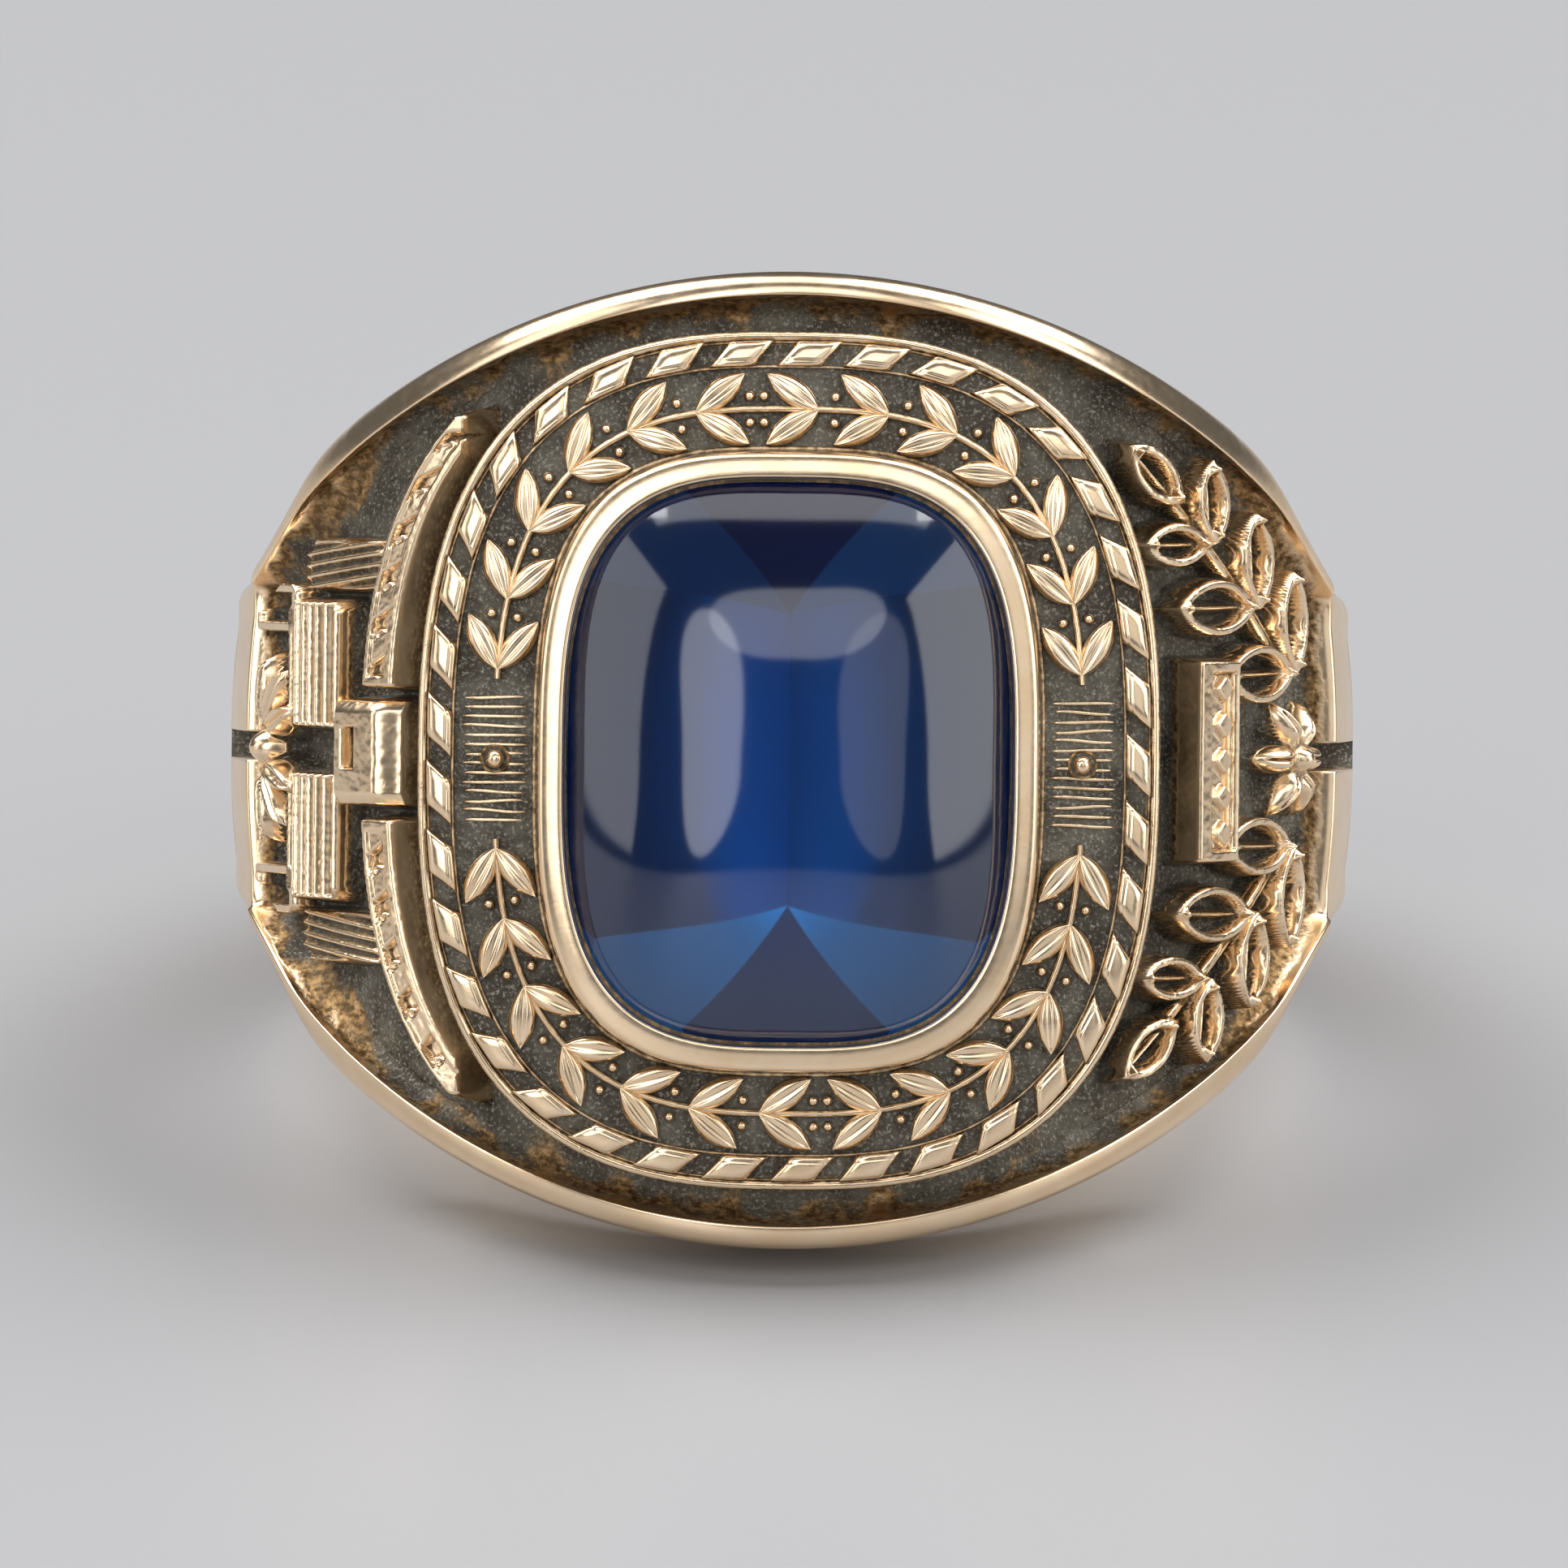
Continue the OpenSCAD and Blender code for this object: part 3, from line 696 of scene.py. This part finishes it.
def lined_fields():
    """Fine ridges across the band at both sides of the stone, with a bead on a low ring
    in the middle of each."""
    grids, chance = Grids(), np.random.default_rng(11)
    along = np.linspace(-1, 1, 25)[:, None]
    round_ = np.radians(np.linspace(0, 180, 7))
    ridge_wear = smooth(np.sin(round_), 0.3, 0.95) * 0.74
    # Bead and its ring, turned about their middle: radius, height, wear
    profile = np.array([
        (0.0, 0.33, 1), (0.07, 0.322, 1), (0.13, 0.29, 1), (0.175, 0.23, 0.95), (0.195, 0.15, 0.7),
        (0.2, 0.05, 0.1), (0.24, 0.03, 0.05), (0.27, 0.07, 0.5), (0.31, 0.07, 0.5),
        (0.345, 0.0, 0.1), (0.36, -0.08, 0.0),
    ])
    turn = np.linspace(0, 2 * np.pi, 33)[:-1]
    for side in (-1, 1):
        for i in range(LINE_COUNT):
            middle = (i + 0.5) * LINE_PITCH - LINE_PITCH * LINE_COUNT / 2
            half = 0.675 + chance.uniform(-0.05, 0.03)
            sway = chance.uniform(-0.03, 0.03)
            x = side * LEAF[0] + along * half
            thick = 0.05 * (1 - 0.5 * np.abs(along) ** 3)
            y = middle + thick * np.cos(round_) + sway * np.sin(along * 2.2)
            gap = smooth(np.hypot(x - side * LEAF[0], y), 0.22, 0.32)
            up = (0.13 * np.sin(round_) * (1 - 0.6 * along**6) - 0.03) * gap - 0.02
            ridge = np.stack([x + 0 * y, y, dome(x, y) + up], -1)
            grids.add(ridge, ridge_wear, grid_faces(*y.shape))
        x = side * LEAF[0] + profile[:, :1] * np.cos(turn)
        y = profile[:, :1] * np.sin(turn)
        bead = np.stack([x, y, dome(x, y) + profile[:, 1:2]], -1)
        grids.add(bead, profile[:, 2:], grid_faces(*x.shape, wrap_cols=True))
    grids.piece("lined_fields")


def bezel():
    """A profile carried round the cushion: ledge, wall, rounded face, inner bevel, lip
    over the stone, seat under its facets, and a closed underside in the metal."""
    columns = 560
    t = Run(BEZEL).even(columns)
    rows, wear = [], []

    def row(flat, height, worn):
        rows.append(np.column_stack([flat, np.broadcast_to(height, columns)]))
        wear.append(worn)

    # Distance outside the bezel's outline, height over the dome, wear
    for off, up, worn in (
        (0.10, -0.30, 0.1), (0.10, 0.05, 0.3), (0.07, 0.085, 0.6), (0.03, 0.09, 0.6),
        (0.0, 0.06, 0.2), (-0.010, 0.30, 0.35), (-0.020, 0.62, 0.7), (-0.035, 0.75, 0.9),
        (-0.06, 0.80, 1), (-0.10, 0.835, 1), (-0.15, 0.856, 1), (-0.25, 0.872, 1),
        (-0.36, 0.886, 1), (-0.47, 0.896, 1), (-0.525, 0.886, 1), (-0.56, 0.855, 1),
        (-0.59, 0.77, 0.9), (-0.625, 0.64, 0.6), (-0.65, 0.56, 0.3), (-0.665, 0.50, 0.1),
    ):
        flat = cushion(BEZEL, t, off)
        row(flat, dome(flat[:, 0], flat[:, 1]) + up, worn)
    for shape, height in ((LIP, 14.07), (SEAT, 14.0), (SEAT, 13.4)):
        row(cushion(shape, t), height, 0.3)
    for share in (0.97, 0.9, 0.8, 0.7, 0.6, 0.5, 0.4, 0.3, 0.2, 0.1, 0.0):
        flat = cushion((SEAT[0] * share, SEAT[1] * share, SEAT[2]), t)
        row(flat, pavilion(flat[:, 0], flat[:, 1]) - 0.14, 0.35)
    for share, height in ((0.0, 10.45), (0.6, 10.9), (1.03, 12.2)):
        row(cushion((BEZEL[0] * share, BEZEL[1] * share, BEZEL[2]), t), height, 0.1)
    worn = np.repeat(np.array(wear, float)[:, None], columns, 1)
    add_piece("bezel", np.array(rows), grid_faces(*worn.shape, True, True), worn)


# Stone


def stone():
    """The cushion stone. Its dome climbs from the girdle as 1 - share^2.6. Its facets
    are the flat faces of the sixteen planes under it: where three planes meet above
    all others there is a corner, and each plane's corners are joined in order round
    their middle. The outline also gets a point wherever a crease between two facets
    runs out to it, found by halving the step between two points."""
    normal, base = facet_planes()
    around, rings = 256, 42

    def heights(flat):
        return base + flat @ normal.T

    t = Run(STONE).even(around)
    top = heights(cushion(STONE, t)).argmax(-1)
    creases = []
    for k in np.nonzero(top != np.roll(top, -1))[0]:
        after = (k + 1) % around
        low, high = t[k], t[after] + (2 * np.pi if after == 0 else 0)
        one, two = top[k], top[after]
        for _ in range(40):
            half = (low + high) / 2
            level = heights(cushion(STONE, np.array([half])))[0]
            low, high = (half, high) if level[one] > level[two] else (low, half)
        creases.append(low)
    t = np.sort(np.concatenate([t, creases]) % (2 * np.pi))
    n = len(t)
    rim = cushion(STONE, t)

    # Dome: rings from the girdle to the pole
    shares = np.cos(np.linspace(0, np.pi / 2, rings))[:-1, None, None]
    h = np.broadcast_to(GIRDLE_TOP + DOME_H * (1 - shares**DOME_POWER), (rings - 1, n, 1))
    foot = np.column_stack([rim, heights(rim).max(-1)])[None]
    rows = np.concatenate([foot, np.concatenate([rim[None] * shares, h], -1)])
    verts = list(map(tuple, rows.reshape(-1, 3)))
    faces = grid_faces(*rows.shape[:2], wrap_cols=True).tolist()
    pole = len(verts)
    verts.append((0.0, 0.0, GIRDLE_TOP + DOME_H))
    last = (len(rows) - 1) * n
    faces += [[last + i, pole, last + (i + 1) % n] for i in range(n)]

    # Corners of the facets inside the outline
    trio = np.array([(i, j, k) for i in range(FACETS) for j in range(i) for k in range(j)])
    matrix = np.concatenate([-normal[trio], np.ones((len(trio), 3, 1))], -1)
    fit = np.abs(np.linalg.det(matrix)) > 1e-9
    corner = np.linalg.solve(matrix[fit], base[trio[fit]][..., None])[..., 0]
    inside = cushion_share(STONE, corner[:, 0], corner[:, 1]) < 0.9999
    above = corner[:, 2] > heights(corner[:, :2]).max(-1) - 1e-7
    corner = np.unique(np.round(corner[inside & above], 6), axis=0)
    start = len(verts)
    verts += list(map(tuple, corner))
    pool = np.concatenate([foot[0], corner])
    index = np.concatenate([np.arange(n), start + np.arange(len(corner))])
    levels = heights(pool[:, :2])
    for k in range(FACETS):
        on = np.nonzero(levels[:, k] > levels.max(-1) - 3e-6)[0]
        away = pool[on, :2] - pool[on, :2].mean(0)
        order = np.argsort(np.arctan2(away[:, 1], away[:, 0]))
        faces.append(index[on][order].tolist())
    mesh = bpy.data.meshes.new("stone_cut")
    mesh.from_pydata(place(np.array(verts)).tolist(), [], faces)
    work = bmesh.new()
    work.from_mesh(mesh)
    bmesh.ops.remove_doubles(work, verts=work.verts, dist=1e-8)
    bmesh.ops.recalc_face_normals(work, faces=work.faces)
    # Each facet's silvering is painted brighter or darker by the way it faces, as painted light and
    # shade, and the dome and the girdle aren't
    away = mathutils.Vector(HEAD_WAY)
    along = mathutils.Vector((0, math.sin(LEAN), math.cos(LEAN)))
    painted_facet_brightness = []
    for face in work.faces:
        face.smooth = True
        turn = math.degrees(math.atan2(face.normal.dot(along), face.normal.x))
        behind = face.normal.dot(away) < 0.05 * away.length
        painted_facet_brightness.append(PAINTED_FACET_LIGHT[round(turn / FACET_TURN) % FACETS] if behind else 0.0)
    work.to_mesh(mesh)
    work.free()
    layer = mesh.attributes.new("foil_and_painted_light", "FLOAT", "FACE")
    layer.data.foreach_set("value", np.array(painted_facet_brightness, np.float32))
    mesh.set_sharp_from_angle(angle=math.radians(9))
    piece = put("stone_cut", mesh)
    mesh.materials.append(MATERIALS["blue_stone"])
    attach(piece, BODY)
    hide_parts("stone")


# Shoulders


def box_depth(x, y, half_x, half_y, corner=0.0):
    """How far inside a rectangle with rounded corners a point lies; negative outside."""
    dx, dy = np.abs(x) - half_x + corner, np.abs(y) - half_y + corner
    outside = np.hypot(np.maximum(dx, 0), np.maximum(dy, 0))
    return corner - outside - np.minimum(np.maximum(dx, dy), 0)


def leaf_depth(x, y, length, width):
    """How far inside a leaf between two arcs from (0, 0) to (length, 0) a point lies."""
    r = (length * length / 4 + width * width / 4) / width
    up = r - np.hypot(x - length / 2, y - (r - width / 2))
    down = r - np.hypot(x - length / 2, y + (r - width / 2))
    return np.minimum(up, down)


def turned(x, y, at_x, at_y, angle):
    """Coordinates seen from a form that lies at a place, turned by an angle in degrees."""
    c, s = math.cos(math.radians(angle)), math.sin(math.radians(angle))
    x, y = x - at_x, y - at_y
    return x * c + y * s, -x * s + y * c


def rise(depth, height, bevel):
    """A form with a flat top: it climbs to its height over the bevel inside its edge."""
    return height * smooth(depth, -0.02, bevel)


def ball(share):
    """Height of a ball of radius 1 at a distance from its middle, 0 beyond its edge."""
    return np.sqrt(np.clip(1 - share**2, 0, 1))


def wave(x, pitch):
    """A cosine between 0 and 1."""
    return 0.5 + 0.5 * np.cos(2 * np.pi * x / pitch)


def arc(angle):
    """Length down the side of the sunk field from the head, at an angle in degrees."""
    return np.radians(angle) * FIELD_R


def book_relief(s, z):
    """Height of the left shoulder's relief: two curved pages with a sunk strip of ticks,
    a faceted spine, lined blocks of page edges, hatched steps, a small frame at each
    end and a fan of leaves round a knob."""
    zz = np.abs(z)
    u = np.sin(s / FIELD_R) * FIELD_R
    # Pages: across is the distance outside an outline a little smaller than the plate's
    across = (cushion_share((7.78, 9.02, 2.7), u, z) - 1) * np.hypot(u, z)
    ends = smooth(zz, 1.30, 1.46) * (1 - smooth(zz, 7.2, 7.6))
    wall = smooth(across, -0.42, 0.02) ** 0.8
    page_h = 1.24 * wall * (1 - smooth(across, 0.58, 0.70)) * ends
    sunk = smooth(across, 0.13, 0.18) * (1 - smooth(across, 0.45, 0.50))
    sunk = sunk * smooth(zz, 1.62, 1.72) * (1 - smooth(zz, 6.8, 6.95))
    pitch = 3.1
    ticks = smooth(np.abs(np.sin(z * pitch + across * 2.6)), 0.55, 0.75)
    past = (zz * pitch / np.pi % 1 - 0.5) * np.pi / pitch
    ring = 1 - smooth(np.abs(np.hypot(across - 0.31, past) - 0.10), 0.02, 0.06)
    page_h = page_h - 0.24 * sunk * ends * (1 - np.maximum(ticks, ring) * 0.8)
    # Spine: a block with bevelled ends, a sloping head side and a sunk panel
    x, y = s - arc(46.2), z
    bevels = (1 - 0.34 * smooth(-x, 0.30, 0.90)) * (1 - 0.16 * smooth(np.abs(y), 0.85, 1.2))
    spine = rise(box_depth(x, y, 0.92, 1.22, 0.12), 1.28, 0.12) * bevels
    spine = spine - 0.5 * smooth(box_depth(x - 0.40, y - 0.1, 0.20, 0.46, 0.04), 0, 0.07)
    # Blocks of page edges
    x, y = s - arc(57.6), zz - 1.86
    block = box_depth(x, y, 1.22, 1.46, 0.35)
    grooves = 0.26 * (1 - wave(x, 0.37)) * smooth(block, 0.10, 0.20)
    edges = rise(block, 1.0, 0.16) * (1 - 0.22 * smooth(x, -1.0, 1.2)) - grooves
    # Hatched steps beside the blocks
    x, y = s - arc(53.5), zz - 4.02
    steps = box_depth(x, y, 1.45, 0.62, 0.1)
    hatch = rise(steps, 0.62, 0.12) - 0.13 * wave(y + 0.12 * x, 0.24) * smooth(steps, 0.05, 0.12)
    # Small frame near the field's end
    x, y = s - arc(67.5), zz - 3.06
    border = 1 - smooth(np.abs(box_depth(x, y, 1.05, 0.42, 0.12)), 0.08, 0.17)
    height = np.maximum.reduce([page_h, spine, edges, hatch, 0.72 * border])
    # Fan of leaves
    for way, length in ((158, 1.9), (128, 2.1), (98, 2.0)):
        x, y = turned(s, zz, arc(69.0), 0.25, way)
        inside = leaf_depth(x, y, length, 0.80)
        vein = 0.14 * np.exp(-((y / 0.07) ** 2)) * smooth(inside, 0.05, 0.18)
        height = np.maximum(height, rise(inside, 1.0, 0.22) - vein)
    knob = np.hypot(s - arc(69.0), z)
    return np.maximum(height, 1.12 * ball(knob / 0.52))


def laurel_relief(s, z):
    """Height of the right shoulder's relief: a plaque with a row of lozenges over a
    rosette, between two branches whose large leaves are drawn in outline."""
    zz = np.abs(z)
    # Plaque with its lozenges
    x, y = s - arc(47.3), z
    block = box_depth(x, y, 0.74, 2.25, 0.16)
    plaque = rise(block, 1.18, 0.12) * (1 - 0.10 * smooth(x, 0.0, 0.7))
    sunk = smooth(box_depth(x - 0.10, y, 0.44, 1.95, 0.08), 0, 0.07)
    pitch, half = 0.78, 0.34
    past = np.abs((y / pitch + 0.5) % 1 - 0.5) * pitch
    lozenge = 1 - smooth(np.abs(x - 0.10) / half + past / half, 0.72, 1.0)
    plaque = plaque - 0.20 * sunk * (1 - 0.9 * lozenge)
    # Rosette: six petals, a vein along each, and a heart
    x, y = s - arc(65.0), z
    away, turn = np.hypot(x, y), np.arctan2(y, x)
    petal = 1.45 * (0.76 + 0.24 * np.cos(6 * turn))
    rosette = np.sqrt(np.clip(1 - (away / petal) ** 2.6, 0, 1))
    rosette = rosette * (0.74 + 0.26 * smooth(away, 0.3, 0.8))
    vein = 0.20 * np.exp(-((np.sin(3 * turn) * away / 0.12) ** 2))
    rosette = rosette - vein * smooth(away, 0.3, 0.5) * (1 - smooth(away, 1.0, 1.3))
    height = np.maximum.reduce([plaque, rosette, 1.05 * ball(away / 0.40)])
    # A branch: its stem, and leaves in pairs along it with one at the tip
    start, end = (arc(63.0), 1.7), (arc(39.0), 6.2)
    branch = math.atan2(end[1] - start[1], end[0] - start[0])
    reach = math.hypot(end[0] - start[0], end[1] - start[1])
    x, y = turned(s, zz, *start, math.degrees(branch))
    stem = smooth(x, -0.2, 0.0) * (1 - smooth(x, reach - 1.0, reach - 0.8))
    height = np.maximum(height, 0.62 * (1 - smooth(np.abs(y), 0.08, 0.20)) * stem)
    # Share of the way along the stem, angle to it, and length
    for share, side, length in (
        (0.02, -42, 2.4), (0.04, 44, 2.6), (0.33, -42, 2.3), (0.36, 44, 2.5),
        (0.64, -42, 2.0), (0.66, 44, 2.0), (0.84, 0, 2.0),
    ):
        at = [a + (b - a) * share for a, b in zip(start, end)]
        x, y = turned(s, zz, *at, math.degrees(branch) + side)
        inside = leaf_depth(x, y, length, length * 0.52)
        outline = smooth(inside, -0.04, 0.08) * (1 - 0.72 * smooth(inside, 0.20, 0.31))
        vein = 0.42 * np.exp(-((y / 0.09) ** 2)) * smooth(inside, 0.1, 0.3)
        height = np.maximum(height, 0.90 * outline + vein)
    return height


def shoulder(name, side, relief, seed):
    """A closed sheet over the sunk field of one side: rows down the side, columns from
    rim to rim. Each point stands on the field by its relief's height and a fine cast
    grain, and the sheet's edges dip under the field."""
    rows, columns, under = 234, 404, FIELD_R - 0.3
    theta = np.radians(np.linspace(33.0, 73.3, rows))[:, None]
    zeta = np.linspace(-1, 1, columns)[None, :]
    y = -BAND_SHIFT - FIELD_R * np.cos(theta)
    wide = flank(FIELD_R * np.sin(theta), y, RIM_FOOT - 0.10)
    z = zeta * wide
    s = theta * FIELD_R + 0 * z
    height = relief(s, z)
    # Forms fade out against the rims and keep clear of the head's plate
    height = height * (1 - smooth(np.abs(z), wide - 0.12, wide + 0.18))
    reach = cushion_share(PLATE, np.sin(theta) * (FIELD_R + height), z)
    height = height * smooth(reach, 0.995, 1.03)
    cast = grains(height.shape, 1, seed) * 0.006 + grains(height.shape, 5, seed + 1) * 0.010
    flat = 1 - smooth(height, 0.05, 0.3)
    surface = height + 0.02 + cast * (0.25 + 0.75 * flat)
    proud = height - blur(height, 16)
    wear = 0.05 + 0.85 * smooth(proud, 0.0, 0.10) + 0.70 * smooth(height, 0.35, 0.85)
    wear = np.clip(wear, 0, 1) * (1 - smooth(-proud, 0.04, 0.15) * 0.85)
    first, last = theta[0, 0], theta[-1, 0]
    edge = np.maximum.reduce(np.broadcast_arrays(
        smooth(np.abs(zeta), 1 - 0.012, 1.0),
        1 - smooth(theta, first, first + 0.012),
        smooth(theta, last - 0.008, last),
    ))
    radius = FIELD_R + (surface * (1 - edge) - 0.08 * edge)
    # Two columns underneath close the sheet, and the end rows fold onto them
    radius = np.concatenate([radius, np.full((rows, 2), under)], 1)
    z = np.concatenate([z, z[:, -1:], z[:, :1]], 1)
    wear = np.concatenate([wear, np.zeros((rows, 2))], 1)
    radius[[0, -1]] = under
    points = np.stack([side * np.sin(theta) * radius, z, BAND_SHIFT + np.cos(theta) * radius], -1)
    add_piece(name, points, grid_faces(rows, columns + 2, wrap_cols=True), wear)


HEAD_WAY = (place(np.array([0.0, 0.0, 1.0])) - place(np.zeros(3))).tolist()

shank()
head_plate()
rope_border()
laurel_band()
lined_fields()
bezel()
stone()
shoulder("left_shoulder", -1, book_relief, 21)
shoulder("right_shoulder", 1, laurel_relief, 31)


# Stage, light and camera


def floor():
    mesh = bpy.data.meshes.new("floor")
    mesh.from_pydata([(-3, -3, 0), (3, -3, 0), (3, 3, 0), (-3, 3, 0)], [], [(0, 1, 2, 3)])
    mesh.materials.append(MATERIALS["floor"])
    made = put("floor", mesh)


def panel(name, azimuth, elevation, distance, size, radiance, shape="RECTANGLE"):
    """A soft flat light that looks at the ring. It is seen from there at an azimuth from
    the front and an elevation, both in degrees, and at a distance in metres. Its power
    gives its face the wanted radiance."""
    a, e = math.radians(azimuth), math.radians(elevation)
    away = mathutils.Vector((math.sin(a) * math.cos(e), -math.cos(a) * math.cos(e), math.sin(e)))
    light = bpy.data.lights.new(name, "AREA")
    light.shape = shape
    light.size, light.size_y = size
    area = size[0] * size[1] * (math.pi / 4 if shape == "ELLIPSE" else 1)
    light.energy = 4 * area * radiance
    lamp = put(name, light)
    lamp.location = mathutils.Vector((0, 0, 0.01)) + away * distance
    lamp.rotation_mode = "QUATERNION"
    lamp.rotation_quaternion = (-away).to_track_quat("-Z", "Y")


def camera():
    """The photograph's view: a long lens, a little above the head's own direction and
    turned slightly, aimed so that the ring lands where it does in the picture."""
    above, roll, yaw = math.radians(1.3), math.radians(0.5), math.radians(0.3)
    distance = 310.0
    # Where the hole's middle lies in the picture, from the picture's own middle
    across, down = 976 - PICTURE / 2, 921 - PICTURE / 2
    back = np.array([math.sin(yaw) * math.cos(above), math.sin(above), math.cos(above)])
    middle = place(np.zeros(3))
    eye = place(back * distance)
    way = mathutils.Vector(middle - eye).normalized()
    tilt = mathutils.Quaternion((0, 0, 1), roll)
    turn = way.to_track_quat("-Z", "Y") @ tilt
    right, up = turn @ mathutils.Vector((1, 0, 0)), turn @ mathutils.Vector((0, 1, 0))
    aim = way - right * (across / FOCAL) + up * (down / FOCAL)
    data = bpy.data.cameras.new("camera")
    data.sensor_width = 36
    data.lens = data.sensor_width * FOCAL / PICTURE
    data.clip_start, data.clip_end = 0.01, 10
    made = put("camera", data)
    made.location = eye
    made.rotation_mode = "QUATERNION"
    made.rotation_quaternion = aim.to_track_quat("-Z", "Y") @ tilt
    bpy.context.scene.camera = made


floor()
panel("front_left", -22, 25, 0.55, (0.24, 0.44), 1.9, "ELLIPSE")
panel("front_right", 25, 24, 0.55, (0.28, 0.42), 0.55, "ELLIPSE")
panel("brow", 4, 46, 0.58, (0.40, 0.22), 1.3, "ELLIPSE")
panel("sky", 180, 84, 0.60, (0.70, 0.35), 1.5)
panel("far_left", -68, 24, 0.55, (0.28, 0.46), 1.2)
panel("far_right", 65, 24, 0.55, (0.32, 0.46), 1.7)
panel("back_left", -115, 52, 0.60, (0.40, 0.40), 4.0)
panel("back_right", 115, 52, 0.60, (0.40, 0.40), 4.0)
camera()

world = bpy.data.worlds.new("studio")
world.use_nodes = True
background = world.node_tree.nodes["Background"]
background.inputs["Color"].default_value = (0.5, 0.52, 0.55, 1)
background.inputs["Strength"].default_value = 0.2
bpy.context.scene.world = world
bpy.context.scene.view_settings.view_transform = "Standard"
